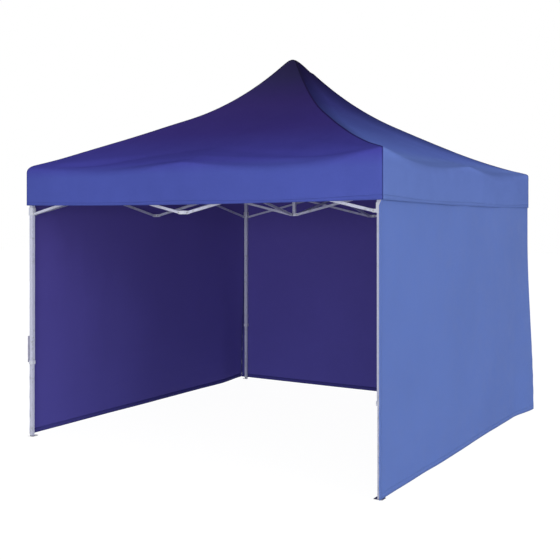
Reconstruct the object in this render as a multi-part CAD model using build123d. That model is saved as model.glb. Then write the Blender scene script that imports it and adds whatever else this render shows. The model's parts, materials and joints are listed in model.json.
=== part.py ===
from build123d import *
import os

# A pop-up canopy: a three metre shelter on four telescoping legs. A folding truss of scissor
# bars joins the legs, and four more pairs of bars carry a central mast that holds the roof up.
# Three sides have a fabric wall and the fourth is open.
#
# Millimetres, +Z up. The origin is on the ground, at the middle of the plan. The open front
# faces -Y. Everything is drawn open and locked, as it stands in use.
#
# The frame repeats every quarter turn, so each piece is drawn once, for the front side or the
# front right corner, and turned about the vertical axis for the other three.

# ---- driving dimensions ----
LEG_OFFSET = 1456.0      # from the middle to a leg's axis, along X and along Y
TOP_PIN_Z = 2010.0       # pins of the bars' upper ends
TRUSS_DEPTH = 320.0      # from the upper pins down to the lower pins
PIN_REACH = 36.0         # from the axis of a leg, hub or mid connector to its pins
ROOF_HALF = 1490.0       # half the width of the roof and its valance
PEAK_Z = 2950.0
EAVE_Z = 2045.0
VALANCE_Z = 1765.0       # lower edge of the valance
OUTER_LEG_Z = 545.0      # lower end of the outer leg tube

# ---- tubes and bars ----
OUTER_LEG = 30.0         # square, outside
INNER_LEG = 25.0
LEG_WALL = 1.0
LEG_CORNER = 3.0         # corner radius of the outer leg tube
INNER_LEG_CORNER = 2.0
INNER_LEG_OVERLAP = 260.0
MAST_RADIUS = 16.0
MAST_WALL = 1.5
BAR_DEPTH = 18.0         # height of a scissor bar's section
BAR_WIDTH = 12.0
BAR_WALL = 1.0
BAR_PLANE = 6.5          # from the middle of a scissor to the middle of each of its bars

# ---- moulded connectors and their bolts ----
CONNECTOR_HALF = 22.0    # half width of a connector's body
CONNECTOR_HEIGHT = 24.0
EAR_RADIUS = 10.5
EAR_THICK = 4.0
EAR_ROOT = 20.0          # how far an ear runs back from its pin into the body
SLOT = 13.0              # gap between two ears
BOLT_RADIUS = 4.0
BOLT_HEAD_RADIUS = 6.5
BOLT_HEAD = 3.0
PIVOT_HOLE_RADIUS = 4.5  # in the bars, which turn on the bolts
EAR_HOLE_RADIUS = 4.1
NUT_PLAY = 0.5
MAST_PLAY = 1.0          # between the mast and the upper hub
SLIDER_PLAY = 0.8        # between a slider and its leg
SLIDER_ABOVE_PIN = 48.0
SLEEVE_HALF = 19.5       # half width of the sleeves round the legs
SLEEVE_CORNER = 5.0
BRACKET_TOP = 2032.0
LID_THICK = 4.0
LID_INSET = 0.5
MAST_CAP_RADIUS = 22.0
MAST_CAP_HEIGHT = 12.0
MAST_CAP_NECK = 20.0     # how far the cap reaches down into the mast

# ---- buttons, latch collar and foot ----
BUTTON_RADIUS = 5.0
BUTTON_HOLE_RADIUS = 5.6
BUTTON_PROUD = 6.0
SLIDER_BUTTON_RISE = 32.0    # above the slider's pins
SLIDER_BUTTON_SIDE = 9.0     # off the leg's axis, clear of the bar's path
SLIDER_BUTTON_TIP = 18.0     # from the leg's axis to its inner end
COLLAR_HALF = 18.5
COLLAR_HEIGHT = 26.0
TUBE_BELOW_COLLAR = 2.0
LATCH_TIP = 16.0         # from the leg's axis to the latch button's inner end
FOOT_SIZE = 58.0
FOOT_INWARD = 4.0            # how far the foot plate sits off the leg's axis, towards the middle
FOOT_THICK = 3.0
FOOT_CORNER = 6.0
STAKE_HOLE_RADIUS = 5.5
STAKE_HOLE_INSET = 24.0      # from the leg's axis towards the middle, along X and along Y

# ---- fabric ----
CLOTH = 1.5
CLOTH_DROP = 2.0         # the roof cloth's depth measured straight down
WALL_OFFSET = 1481.0     # from the middle of the plan to a wall's middle surface
WALL_BOTTOM_Z = 25.0
WALL_TOP_Z = 2005.0
SIDE_TO_BACK_GAP = 2.0   # where a side wall meets the back wall
# rings of the roof, from the peak to the eave: (distance out, height above the eave), each as
# a share of the whole. The cloth hangs in a hollow curve between the peak and the eave.
ROOF_RINGS = ((0.018, 1.0), (0.15, 0.74), (0.45, 0.40), (1.0, 0.0))

LOW_PIN_Z = TOP_PIN_Z - TRUSS_DEPTH
COLLAR_Z = OUTER_LEG_Z + TUBE_BELOW_COLLAR
CAP_GAP = 1.5            # between the mast cap and the cloth over it
MAST_CAP_Z = PEAK_Z - CLOTH_DROP - CAP_GAP - MAST_CAP_HEIGHT
WEDGE_REACH = 1.1 * ROOF_HALF    # past the valance
SIDES = ("front", "right", "back", "left")
CORNERS = ("front_right", "back_right", "back_left", "front_left")
ACROSS_X = Vector(1, 0, 0)
ACROSS_Y = Vector(0, 1, 0)


def turned(shape, quarter):
    """A piece of the front side or front right corner, turned to side or corner number quarter."""
    return Rot(0, 0, 90 * quarter) * shape


def write(name, *solids):
    """Writes one node's solids to its file."""
    export_step(Compound(children=[s for solid in solids for s in solid.solids()]), f"parts/{name}.step")


def bar(start, end, across):
    """A scissor bar between two pins: a flat hollow tube, rounded and closed at its ends, with a
    pivot hole at each end and one in the middle. across is the direction of the pins."""
    length = (end - start).length
    outside = extrude(SlotCenterToCenter(length, BAR_DEPTH), BAR_WIDTH / 2, both=True)
    hollow = SlotCenterToCenter(length, BAR_DEPTH - 2 * BAR_WALL)
    tube = outside - extrude(hollow, BAR_WIDTH / 2 - BAR_WALL, both=True)
    for along in (-length / 2, 0, length / 2):
        tube -= Pos(along, 0, 0) * Cylinder(PIVOT_HOLE_RADIUS, 2 * BAR_WIDTH)
    return Plane(origin=(start + end) / 2, x_dir=end - start, z_dir=across).location * tube


def bolt(middle, across, grip):
    """A bolt along across, with a round head and a nut on the two faces that it grips."""
    head = Cylinder(BOLT_HEAD_RADIUS, BOLT_HEAD)
    place = (grip + BOLT_HEAD) / 2
    whole = Cylinder(BOLT_RADIUS, grip) + Pos(0, 0, place) * head + Pos(0, 0, -place) * head
    return Plane(origin=middle, z_dir=across).location * whole


def pivot_bolt(crossing, across):
    """The bolt where the two bars of a scissor cross. Its head bears on the bar that across
    points to, and its nut stands clear of the other bar, which turns on it."""
    grip = 2 * BAR_PLANE + BAR_WIDTH + NUT_PLAY
    return bolt(crossing - across * (NUT_PLAY / 2), across, grip)


def ears(pin, outward, across):
    """Two ears that hold a bar's end between them. outward runs from the connector to the pin."""
    root = Pos(-EAR_ROOT / 2, 0) * Rectangle(EAR_ROOT, 2 * EAR_RADIUS)
    ear = extrude(root + Circle(EAR_RADIUS) - Circle(EAR_HOLE_RADIUS), EAR_THICK)
    pair = Pos(0, 0, SLOT / 2) * ear + Pos(0, 0, -SLOT / 2 - EAR_THICK) * ear
    return Plane(origin=pin, x_dir=outward, z_dir=across).location * pair


def ear_bolt(pin, across):
    return bolt(pin, across, SLOT + 2 * EAR_THICK)


def square_tube(width, corner, bottom, top):
    """A square tube on the Z axis between two heights."""
    section = RectangleRounded(width, width, corner)
    inner = width - 2 * LEG_WALL
    section -= RectangleRounded(inner, inner, corner - LEG_WALL)
    return Pos(0, 0, bottom) * extrude(section, top - bottom)


def collar(half, hole, bottom, top):
    """A moulded square sleeve on the Z axis, with a square hole."""
    sleeve = extrude(RectangleRounded(2 * half, 2 * half, SLEEVE_CORNER), top - bottom)
    sleeve -= extrude(RectangleRounded(hole, hole, LEG_CORNER), top - bottom)
    return Pos(0, 0, bottom) * sleeve


def button(tip, face, side, height):
    """A round push button that points along +X to a leg on the Z axis. tip and face are the
    distances from the leg's axis to its inner end and to the surface that it stands proud of."""
    length = face + BUTTON_PROUD - tip
    return Pos(-tip - length / 2, side, height) * Rot(0, 90, 0) * Cylinder(BUTTON_RADIUS, length)


def button_hole(face, side, height):
    length = 2 * face
    return Pos(-face, side, height) * Rot(0, 90, 0) * Cylinder(BUTTON_HOLE_RADIUS, length)


# ---- pins of the front side, and of the front right corner ----
ARM_OUT = -(LEG_OFFSET - PIN_REACH)
UPPER_HUB_PIN = Vector(BAR_PLANE, -PIN_REACH, TOP_PIN_Z)
LOWER_HUB_PIN = Vector(-BAR_PLANE, -PIN_REACH, LOW_PIN_Z)
MID_TOP_INNER_PIN = Vector(-BAR_PLANE, ARM_OUT, TOP_PIN_Z)
MID_BOTTOM_INNER_PIN = Vector(BAR_PLANE, ARM_OUT, LOW_PIN_Z)
HIGH_BAR_Y = -LEG_OFFSET - BAR_PLANE
LOW_BAR_Y = -LEG_OFFSET + BAR_PLANE
MID_TOP_SIDE_PIN = Vector(PIN_REACH, HIGH_BAR_Y, TOP_PIN_Z)
MID_BOTTOM_SIDE_PIN = Vector(PIN_REACH, LOW_BAR_Y, LOW_PIN_Z)
SLIDER_PIN = Vector(-ARM_OUT, HIGH_BAR_Y, LOW_PIN_Z)
LEG_PIN = Vector(-ARM_OUT, LOW_BAR_Y, TOP_PIN_Z)
SIDE_CROSSING = Vector(LEG_OFFSET / 2, -LEG_OFFSET, (TOP_PIN_Z + LOW_PIN_Z) / 2)
ARM_CROSSING = Vector(0, -LEG_OFFSET / 2, (TOP_PIN_Z + LOW_PIN_Z) / 2)


def across_middle(point):
    """The same point on the left half of the front side."""
    return Vector(-point.X, point.Y, point.Z)


def around_corner(point):
    """A pin of the front right corner's front side, seen on its right side."""
    return Vector(-point.Y, -point.X, point.Z)


# ---- the central hubs, the mast and its cap ----
def hub(height, bore, pin):
    """A round hub about the mast, with a pair of ears and a bolt for each of the four arms."""
    body = Pos(0, 0, height) * Cylinder(CONNECTOR_HALF, CONNECTOR_HEIGHT)
    bolts = []
    for quarter in range(4):
        body += turned(ears(pin, -ACROSS_Y, ACROSS_X), quarter)
        bolts.append(turned(ear_bolt(pin, ACROSS_X), quarter))
    body -= Pos(0, 0, height) * Cylinder(bore, 2 * CONNECTOR_HEIGHT)
    return [body, *bolts]


def mast():
    """The tube that stands in the lower hub, slides through the upper hub and props the roof."""
    bottom = LOW_PIN_Z - CONNECTOR_HEIGHT / 2
    length = MAST_CAP_Z - bottom
    tube = Cylinder(MAST_RADIUS, length) - Cylinder(MAST_RADIUS - MAST_WALL, length)
    return Pos(0, 0, bottom + length / 2) * tube


def mast_cap():
    """A mushroom-shaped cap on the mast's top, which spreads the load into the roof's peak."""
    dome_radius = (MAST_CAP_RADIUS**2 + MAST_CAP_HEIGHT**2) / (2 * MAST_CAP_HEIGHT)
    dome = Pos(0, 0, MAST_CAP_Z + MAST_CAP_HEIGHT - dome_radius) * Sphere(dome_radius)
    dome &= Pos(0, 0, MAST_CAP_Z + MAST_CAP_HEIGHT) * Cylinder(2 * MAST_CAP_RADIUS, 2 * MAST_CAP_HEIGHT)
    neck = Cylinder(MAST_RADIUS - MAST_WALL, MAST_CAP_NECK)
    return dome + Pos(0, 0, MAST_CAP_Z - MAST_CAP_NECK / 2) * neck


# ---- connectors at the middle of each side ----
def mid_connector(inner_pin, side_pin):
    """A moulded block that joins an arm's bar to the bars of the two scissors beside it."""
    front = -LEG_OFFSET - CONNECTOR_HALF + EAR_THICK
    back = -LEG_OFFSET + CONNECTOR_HALF
    size = (2 * CONNECTOR_HALF, back - front, CONNECTOR_HEIGHT)
    body = Pos(0, (front + back) / 2, side_pin.Z) * Box(*size)
    body += ears(inner_pin, ACROSS_Y, ACROSS_X)
    bolts = [ear_bolt(inner_pin, ACROSS_X)]
    for pin, outward in ((side_pin, ACROSS_X), (across_middle(side_pin), -ACROSS_X)):
        body += ears(pin, outward, ACROSS_Y)
        bolts.append(ear_bolt(pin, ACROSS_Y))
    return [body, *bolts]


# ---- legs, drawn for the front right corner ----
CORNER_LEG = Pos(LEG_OFFSET, -LEG_OFFSET, 0)


def corner_ears(pin):
    """Ears on both inward sides of the front right leg, and their bolts."""
    beside = around_corner(pin)
    pairs = ears(pin, -ACROSS_X, ACROSS_Y) + ears(beside, ACROSS_Y, ACROSS_X)
    return pairs, [ear_bolt(pin, ACROSS_Y), ear_bolt(beside, ACROSS_X)]


def outer_leg():
    """The outer tube with the bracket on its top and the latch collar round its lower end."""
    tube = CORNER_LEG * square_tube(OUTER_LEG, LEG_CORNER, OUTER_LEG_Z, BRACKET_TOP - LID_THICK)
    latch_z = COLLAR_Z + COLLAR_HEIGHT / 2
    hole = CORNER_LEG * button_hole(COLLAR_HALF, 0, latch_z)
    latch = CORNER_LEG * collar(COLLAR_HALF, OUTER_LEG, COLLAR_Z, COLLAR_Z + COLLAR_HEIGHT)
    bracket_bottom = TOP_PIN_Z - CONNECTOR_HEIGHT / 2
    bracket = CORNER_LEG * collar(SLEEVE_HALF, OUTER_LEG, bracket_bottom, BRACKET_TOP)
    lid_side = 2 * (SLEEVE_HALF - LID_INSET)
    lid = RectangleRounded(lid_side, lid_side, LEG_CORNER)
    bracket += CORNER_LEG * Pos(0, 0, BRACKET_TOP - LID_THICK) * extrude(lid, LID_THICK)
    pairs, bolts = corner_ears(LEG_PIN)
    return [tube - hole, bracket + pairs, latch - hole, *bolts]


def slider():
    """The sleeve that runs up and down a leg and carries the lower ends of two bars."""
    hole = OUTER_LEG + 2 * SLIDER_PLAY
    bottom = LOW_PIN_Z - CONNECTOR_HEIGHT / 2
    top = LOW_PIN_Z + SLIDER_ABOVE_PIN
    sleeve = CORNER_LEG * collar(SLEEVE_HALF, hole, bottom, top)
    height = LOW_PIN_Z + SLIDER_BUTTON_RISE
    sleeve -= CORNER_LEG * button_hole(SLEEVE_HALF, SLIDER_BUTTON_SIDE, height)
    pairs, bolts = corner_ears(SLIDER_PIN)
    return [sleeve + pairs, *bolts]


def slider_button():
    height = LOW_PIN_Z + SLIDER_BUTTON_RISE
    knob = button(SLIDER_BUTTON_TIP, SLEEVE_HALF, SLIDER_BUTTON_SIDE, height)
    return CORNER_LEG * knob


def latch_button():
    return CORNER_LEG * button(LATCH_TIP, COLLAR_HALF, 0, COLLAR_Z + COLLAR_HEIGHT / 2)


def inner_leg():
    """The inner tube on its steel foot plate, which has a hole for a ground stake."""
    top = OUTER_LEG_Z + INNER_LEG_OVERLAP
    tube = square_tube(INNER_LEG, INNER_LEG_CORNER, FOOT_THICK, top)
    plate = Pos(-FOOT_INWARD, FOOT_INWARD, 0) * extrude(RectangleRounded(FOOT_SIZE, FOOT_SIZE, FOOT_CORNER), FOOT_THICK)
    hole = Cylinder(STAKE_HOLE_RADIUS, 4 * FOOT_THICK)
    plate -= Pos(-STAKE_HOLE_INSET, STAKE_HOLE_INSET, 0) * hole
    return [CORNER_LEG * tube, CORNER_LEG * plate]


# ---- fabric ----
def front_wedge():
    """The quarter of the plan that lies in front of both diagonals, as a tall prism."""
    reach = WEDGE_REACH
    return extrude(make_face(Polyline((0, 0), (reach, -reach), (-reach, -reach), (0, 0))), 2 * PEAK_Z)


def roof_side():
    """The front quarter of the roof: one flat band from each ring to the next, with the valance
    below the last. Neighbouring quarters meet on the diagonals, along the roof's hips."""
    wedge = front_wedge()
    rise = PEAK_Z - EAVE_Z
    rings = [(-share * ROOF_HALF, EAVE_Z + height * rise) for share, height in ROOF_RINGS]
    solids = []
    for (y, z), (next_y, next_z) in zip(rings, rings[1:]):
        corners = ((y, z), (next_y, next_z), (next_y, next_z - CLOTH_DROP), (y, z - CLOTH_DROP), (y, z))
        section = Plane.YZ * make_face(Polyline(*corners))
        solids.append(extrude(section, ROOF_HALF, both=True) & wedge)
    height = EAVE_Z - CLOTH_DROP - VALANCE_Z
    valance = Pos(0, -ROOF_HALF + CLOTH / 2, VALANCE_Z + height / 2) * Box(2 * ROOF_HALF, CLOTH, height)
    solids.append(valance & wedge)
    return solids


def roof_top():
    """The small flat patch over the mast's cap."""
    side = 2 * ROOF_RINGS[0][0] * ROOF_HALF
    return Pos(0, 0, PEAK_Z - CLOTH_DROP / 2) * Box(side, side, CLOTH_DROP)


def wall(width):
    """A wall panel, drawn across the front."""
    height = WALL_TOP_Z - WALL_BOTTOM_Z
    return Pos(0, -WALL_OFFSET, WALL_BOTTOM_Z + height / 2) * Box(width, CLOTH, height)


# ---- write every node ----
os.makedirs("parts", exist_ok=True)
write("hub_upper", *hub(TOP_PIN_Z, MAST_RADIUS + MAST_PLAY, UPPER_HUB_PIN))
write("hub_lower", *hub(LOW_PIN_Z, MAST_RADIUS, LOWER_HUB_PIN))
write("mast", mast())
write("mast_cap", mast_cap())

arm_high = [bar(UPPER_HUB_PIN, MID_BOTTOM_INNER_PIN, ACROSS_X), pivot_bolt(ARM_CROSSING, ACROSS_X)]
arm_low = [bar(LOWER_HUB_PIN, MID_TOP_INNER_PIN, ACROSS_X)]
mid_top = mid_connector(MID_TOP_INNER_PIN, MID_TOP_SIDE_PIN)
mid_bottom = mid_connector(MID_BOTTOM_INNER_PIN, MID_BOTTOM_SIDE_PIN)
side_high = [bar(MID_TOP_SIDE_PIN, SLIDER_PIN, ACROSS_Y), pivot_bolt(SIDE_CROSSING, -ACROSS_Y)]
side_low = [bar(MID_BOTTOM_SIDE_PIN, LEG_PIN, ACROSS_Y)]

for quarter, side in enumerate(SIDES):
    right_end = CORNERS[quarter]
    left_end = CORNERS[quarter - 1]
    for name, solids in (
        (f"arm_bar_{side}_high", arm_high),
        (f"arm_bar_{side}_low", arm_low),
        (f"mid_top_{side}", mid_top),
        (f"mid_bottom_{side}", mid_bottom),
        (f"side_bar_{side}_to_{right_end}_high", side_high),
        (f"side_bar_{side}_to_{right_end}_low", side_low),
    ):
        write(name, *[turned(solid, quarter) for solid in solids])
    for name, solids in (
        (f"side_bar_{side}_to_{left_end}_high", side_high),
        (f"side_bar_{side}_to_{left_end}_low", side_low),
    ):
        write(name, *[turned(solid.mirror(Plane.YZ), quarter) for solid in solids])

for quarter, corner in enumerate(CORNERS):
    for name, solids in (
        (f"leg_outer_{corner}", outer_leg()),
        (f"leg_inner_{corner}", inner_leg()),
        (f"slider_{corner}", slider()),
        (f"slider_button_{corner}", [slider_button()]),
        (f"leg_latch_button_{corner}", [latch_button()]),
    ):
        write(name, *[turned(solid, quarter) for solid in solids])

roof_quarter = roof_side()
write("roof", roof_top(), *[turned(solid, quarter) for quarter in range(4) for solid in roof_quarter])
side_width = 2 * (WALL_OFFSET + CLOTH / 2)
back_width = side_width - 2 * CLOTH - 2 * SIDE_TO_BACK_GAP
write("wall_right", turned(wall(side_width), 1))
write("wall_back", turned(wall(back_width), 2))
write("wall_left", turned(wall(side_width), 3))
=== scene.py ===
import functools
import json
import math

import bpy
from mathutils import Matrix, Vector, noise

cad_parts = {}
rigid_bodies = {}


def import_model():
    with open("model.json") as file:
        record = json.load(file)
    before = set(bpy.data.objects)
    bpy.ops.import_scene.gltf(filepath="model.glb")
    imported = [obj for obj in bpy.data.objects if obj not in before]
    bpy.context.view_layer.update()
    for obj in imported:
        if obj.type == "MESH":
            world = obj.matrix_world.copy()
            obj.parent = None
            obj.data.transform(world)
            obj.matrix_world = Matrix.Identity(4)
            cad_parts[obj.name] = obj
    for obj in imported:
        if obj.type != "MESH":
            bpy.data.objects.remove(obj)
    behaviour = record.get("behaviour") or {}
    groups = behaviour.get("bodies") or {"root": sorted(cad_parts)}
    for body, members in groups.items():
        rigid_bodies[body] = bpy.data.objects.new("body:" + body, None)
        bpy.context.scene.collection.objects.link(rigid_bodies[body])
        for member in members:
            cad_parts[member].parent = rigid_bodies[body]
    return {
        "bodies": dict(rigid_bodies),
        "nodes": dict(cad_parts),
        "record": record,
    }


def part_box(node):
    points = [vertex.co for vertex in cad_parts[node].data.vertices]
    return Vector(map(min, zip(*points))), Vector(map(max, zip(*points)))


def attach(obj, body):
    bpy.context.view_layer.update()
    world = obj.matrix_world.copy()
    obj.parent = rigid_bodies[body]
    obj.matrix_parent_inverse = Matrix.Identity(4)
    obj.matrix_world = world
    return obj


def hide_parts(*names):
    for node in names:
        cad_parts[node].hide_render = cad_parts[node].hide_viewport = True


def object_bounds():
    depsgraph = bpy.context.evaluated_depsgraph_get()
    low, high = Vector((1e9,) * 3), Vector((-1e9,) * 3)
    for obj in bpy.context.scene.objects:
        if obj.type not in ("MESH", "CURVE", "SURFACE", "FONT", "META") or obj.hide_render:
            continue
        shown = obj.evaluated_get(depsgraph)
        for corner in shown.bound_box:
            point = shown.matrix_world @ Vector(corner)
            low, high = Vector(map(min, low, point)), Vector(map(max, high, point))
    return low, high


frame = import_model()
cad_low, cad_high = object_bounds()


# ---------------------------------------------------------------------------------------------------
# Outer legs. Four square steel tubes with a white powder coat, each with a nylon bracket pressed on
# its top, where the truss bars are bolted, and a nylon collar at its bottom, where the latch sits.
def new_node(tree, kind, **settings):
    """A node of this kind with its own settings."""
    node = tree.nodes.new(kind)
    for name, value in settings.items():
        setattr(node, name, value)
    return node


def feed(tree, node, inputs):
    """Each input of the node gets a link from another node's socket, or a plain value."""
    for name, value in inputs.items():
        if isinstance(value, bpy.types.NodeSocket):
            tree.links.new(value, node.inputs[name])
        else:
            node.inputs[name].default_value = value
    return node


def calculate(tree, operation, first, second=0.0, clamp=False):
    """The result of one sum on numbers that change over the surface."""
    node = new_node(tree, "ShaderNodeMath", operation=operation, use_clamp=clamp)
    return feed(tree, node, {0: first, 1: second}).outputs[0]


def noise_of(tree, place, scale, detail=3.0, roughness=0.55):
    """Soft noise from 0 to 1, with this many lumps to the metre."""
    inputs = {"Vector": place, "Scale": scale, "Detail": detail, "Roughness": roughness}
    return feed(tree, new_node(tree, "ShaderNodeTexNoise"), inputs).outputs["Fac"]


def between(tree, value, low, high, to_low=0.0, to_high=1.0):
    """value taken from the range low..high to the range to_low..to_high, and held there."""
    inputs = {"Value": value, "From Min": low, "From Max": high, "To Min": to_low, "To Max": to_high}
    return feed(tree, new_node(tree, "ShaderNodeMapRange"), inputs).outputs[0]


def mixed(tree, share, first, second, blend="MIX"):
    """Two colours mixed by a share from 0 to 1."""
    node = new_node(tree, "ShaderNodeMix", data_type="RGBA", blend_type=blend)
    return feed(tree, node, {0: share, 6: first, 7: second}).outputs[2]


def rubbed(tree, share, first, second):
    """Two numbers mixed by a share from 0 to 1."""
    node = new_node(tree, "ShaderNodeMix", data_type="FLOAT")
    return feed(tree, node, {0: share, 2: first, 3: second}).outputs[0]


def own_place(tree):
    """Where a point lies in the object's own metres, split into X, Y and Z as well."""
    place = new_node(tree, "ShaderNodeTexCoord").outputs["Object"]
    split = feed(tree, new_node(tree, "ShaderNodeSeparateXYZ"), {"Vector": place})
    return place, split.outputs[0], split.outputs[1], split.outputs[2]


def new_group(name, inputs, outputs):
    """A shader node group with these inputs, {name: value}, and these outputs, {name: kind}."""
    tree = bpy.data.node_groups.new(name, "ShaderNodeTree")
    for label, value in inputs.items():
        kind = "NodeSocketColor" if isinstance(value, tuple) else "NodeSocketFloat"
        tree.interface.new_socket(name=label, in_out="INPUT", socket_type=kind).default_value = value
    for label, kind in outputs.items():
        tree.interface.new_socket(name=label, in_out="OUTPUT", socket_type="NodeSocket" + kind)
    return tree, new_node(tree, "NodeGroupInput").outputs, new_node(tree, "NodeGroupOutput")


def placed(tree, group, **values):
    """The group's outputs, with its inputs given as keywords in lower case with _ for a space."""
    node = new_node(tree, "ShaderNodeGroup", node_tree=group)
    names = {name.lower().replace(" ", "_"): name for name in node.inputs.keys()}
    return feed(tree, node, {names[key]: value for key, value in values.items()}).outputs


def new_material(name, **sockets):
    """A material with one Principled shader, whose plain values are set on its own sockets."""
    made = bpy.data.materials.new(name)
    made.use_nodes = True
    shader = made.node_tree.nodes["Principled BSDF"]
    return made, made.node_tree, feed(made.node_tree, shader, sockets)


def bump(tree, shader, height, strength, distance):
    """A small relief on the shader's surface. distance is its depth in metres."""
    inputs = {"Height": height, "Strength": strength, "Distance": distance}
    relief = feed(tree, new_node(tree, "ShaderNodeBump"), inputs)
    tree.links.new(relief.outputs[0], shader.inputs["Normal"])


handled, taken, given = new_group(
    "handling_marks",
    {"Colour": (0.8, 0.8, 0.8, 1.0), "Dirt": (0.2, 0.18, 0.15, 1.0), "Amount": 0.5, "Ground": 0.35},
    {"Colour": "Color", "Marks": "Float"},
)
place, _, _, height = own_place(handled)
specks = between(handled, noise_of(handled, place, 140.0, 5.0, 0.7), 0.60, 0.75)
smears = between(handled, noise_of(handled, place, 7.0, 4.0), 0.50, 0.72)
low_down = between(handled, height, taken["Ground"], 0.0)
marks = calculate(handled, "MULTIPLY", specks, calculate(handled, "ADD", smears, low_down))
film = calculate(handled, "MULTIPLY", low_down, smears)
marks = calculate(handled, "ADD", calculate(handled, "MULTIPLY", marks, 0.6), film, clamp=True)
marks = calculate(handled, "MULTIPLY", marks, taken["Amount"])
feed(handled, given, {"Colour": mixed(handled, marks, taken["Colour"], taken["Dirt"]), "Marks": marks})

grained, taken, given = new_group(
    "fine_grain", {"Lumps": 900.0, "Ripple": 60.0}, {"Height": "Float", "Tone": "Float"}
)
place = own_place(grained)[0]
pits = noise_of(grained, place, taken["Lumps"], 2.0)
waves = noise_of(grained, place, taken["Ripple"], 2.0)
grain = calculate(grained, "ADD", calculate(grained, "MULTIPLY", pits, 0.6), waves)
feed(grained, given, {"Height": grain, "Tone": between(grained, waves, 0.3, 0.7, 0.96, 1.04)})

white_paint, tree, shader = new_material(
    "white_powder_coat", **{"Specular IOR Level": 0.5, "Coat Roughness": 0.25}
)
grain = placed(tree, grained, lumps=1400.0, ripple=260.0)
# The white coat is given a darker blue-grey: partly painted shade and the blue light thrown by the cloth.
marks = placed(tree, handled, colour=(0.52, 0.535, 0.68, 1.0), dirt=(0.36, 0.35, 0.36, 1.0), amount=0.03)
worn = between(tree, new_node(tree, "ShaderNodeNewGeometry").outputs["Pointiness"], 0.53, 0.60)
worn = calculate(tree, "MULTIPLY", worn, between(tree, noise_of(tree, own_place(tree)[0], 35.0), 0.55, 0.7))
paint = mixed(tree, 1.0, marks["Colour"], grain["Tone"], "MULTIPLY")
feed(tree, shader, {"Base Color": mixed(tree, worn, paint, (0.40, 0.42, 0.48, 1.0))})
feed(tree, shader, {"Roughness": between(tree, marks["Marks"], 0.0, 0.5, 0.36, 0.7)})
bump(tree, shader, grain["Height"], 0.25, 0.0003)

white_nylon, tree, shader = new_material("white_nylon", **{"Specular IOR Level": 0.45})
grain = placed(tree, grained, lumps=2600.0, ripple=120.0)
# The white nylon is given a darker blue-grey: partly painted shade and the blue light thrown by the cloth.
marks = placed(tree, handled, colour=(0.58, 0.60, 0.70, 1.0), dirt=(0.34, 0.33, 0.34, 1.0), amount=0.03)
feed(tree, shader, {"Base Color": mixed(tree, 1.0, marks["Colour"], grain["Tone"], "MULTIPLY")})
feed(tree, shader, {"Roughness": between(tree, marks["Marks"], 0.0, 0.5, 0.48, 0.75)})
bump(tree, shader, grain["Height"], 0.35, 0.0002)

zinc, tree, shader = new_material("zinc_plate", **{"Metallic": 1.0})
grain = placed(tree, grained, lumps=700.0, ripple=90.0)
marks = placed(tree, handled, colour=(0.40, 0.40, 0.43, 1.0), dirt=(0.14, 0.11, 0.09, 1.0), amount=0.6)
feed(tree, shader, {"Base Color": mixed(tree, 1.0, marks["Colour"], grain["Tone"], "MULTIPLY")})
feed(tree, shader, {"Roughness": between(tree, marks["Marks"], 0.0, 0.6, 0.32, 0.6)})
bump(tree, shader, grain["Height"], 0.2, 0.0001)


def loose_solids(mesh):
    """The mesh's separate solids, as lists of faces, the largest first."""
    spots = {}
    spot_of = [spots.setdefault(tuple(round(x, 5) for x in v.co), len(spots)) for v in mesh.vertices]
    leader = list(range(len(spots)))

    def lead(spot):
        while leader[spot] != spot:
            leader[spot] = leader[leader[spot]]
            spot = leader[spot]
        return spot

    for face in mesh.polygons:
        for vertex in face.vertices[1:]:
            leader[lead(spot_of[vertex])] = lead(spot_of[face.vertices[0]])
    solids = {}
    for face in mesh.polygons:
        solids.setdefault(lead(spot_of[face.vertices[0]]), []).append(face)
    return sorted(solids.values(), key=lambda faces: (-len(faces), faces[0].index))


def finished(node, main, fastener=zinc):
    """The node's largest solid gets the main material, and the bolts and rivets on it another."""
    mesh = frame["nodes"][node].data
    mesh.materials.clear()
    mesh.materials.append(main)
    mesh.materials.append(fastener)
    for solid, faces in enumerate(loose_solids(mesh)):
        for face in faces:
            face.material_index = min(solid, 1)
    return mesh


CORNERS = ("front_right", "back_right", "back_left", "front_left")
TUBE_HALF = 0.0152
LEG_OFFSET = next(m for m in frame["record"]["mounts"] if m["name"] == "ground_rest")["pos_m"][0]


def leg_axis(corner):
    """Where a leg stands on the ground."""
    x = LEG_OFFSET if "right" in corner else -LEG_OFFSET
    y = LEG_OFFSET if "back" in corner else -LEG_OFFSET
    return Vector((x, y, 0))


for corner in CORNERS:
    mesh = finished("leg_outer_" + corner, white_paint)
    mesh.materials.append(white_nylon)
    axis = leg_axis(corner)
    for face in mesh.polygons:
        reach = max(abs(face.center.x - axis.x), abs(face.center.y - axis.y))
        if face.material_index == 0 and reach > TUBE_HALF:
            face.material_index = 2


# ---------------------------------------------------------------------------------------------------
# Inner legs. Each is a thinner powder-coated tube that slides up into its outer leg, and stands on a
# stamped foot plate, zinc plated, with a hole for a ground stake.
for corner in CORNERS:
    finished("leg_inner_" + corner, white_paint)


# ---------------------------------------------------------------------------------------------------
# Sliders and push buttons. The sliders are moulded nylon sleeves that run on the outer legs and carry
# the low ends of the truss. Each has a sprung button, and so has the collar of each outer leg.
button_nylon, tree, shader = new_material("button_nylon", **{"Specular IOR Level": 0.5})
grain = placed(tree, grained, lumps=2200.0, ripple=200.0)
marks = placed(tree, handled, colour=(0.34, 0.36, 0.40, 1.0), dirt=(0.12, 0.11, 0.1, 1.0), amount=0.5)
feed(tree, shader, {"Base Color": mixed(tree, 1.0, marks["Colour"], grain["Tone"], "MULTIPLY")})
feed(tree, shader, {"Roughness": between(tree, marks["Marks"], 0.0, 0.5, 0.4, 0.65)})
bump(tree, shader, grain["Height"], 0.3, 0.0002)

for corner in CORNERS:
    finished("slider_" + corner, white_nylon)
    finished("slider_button_" + corner, button_nylon)
    finished("leg_latch_button_" + corner, button_nylon)


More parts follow.
